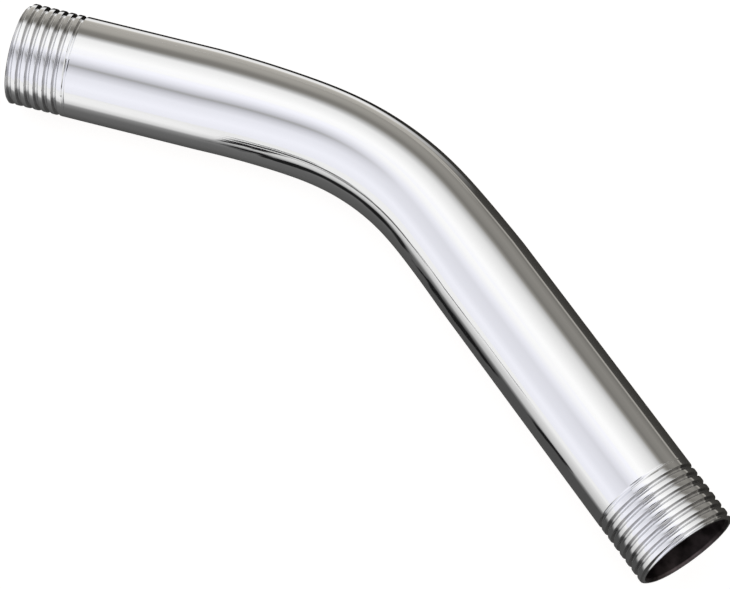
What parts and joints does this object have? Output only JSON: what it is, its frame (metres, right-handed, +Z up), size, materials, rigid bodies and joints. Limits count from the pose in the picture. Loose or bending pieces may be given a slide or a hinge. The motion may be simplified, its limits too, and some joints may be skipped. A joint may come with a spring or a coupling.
{
  "type": "shower arm",
  "caption": "Short bent shower arm: a chromed tube with a male pipe thread at each end, lying on its side.",
  "frame": {"origin": "centre of the wall end's mouth, on the tube's axis", "axes": "+X along the wall run, from its mouth into the arm; the bend lies in the XY plane and turns towards -Y; +Z up as the arm lies"},
  "size_m": [0.1537, 0.082, 0.02],
  "materials": {
    "chrome": "polished chrome plate over brass"
  },
  "bodies": {
    "root": {"arm": "chrome"}
  },
  "joints": []
}
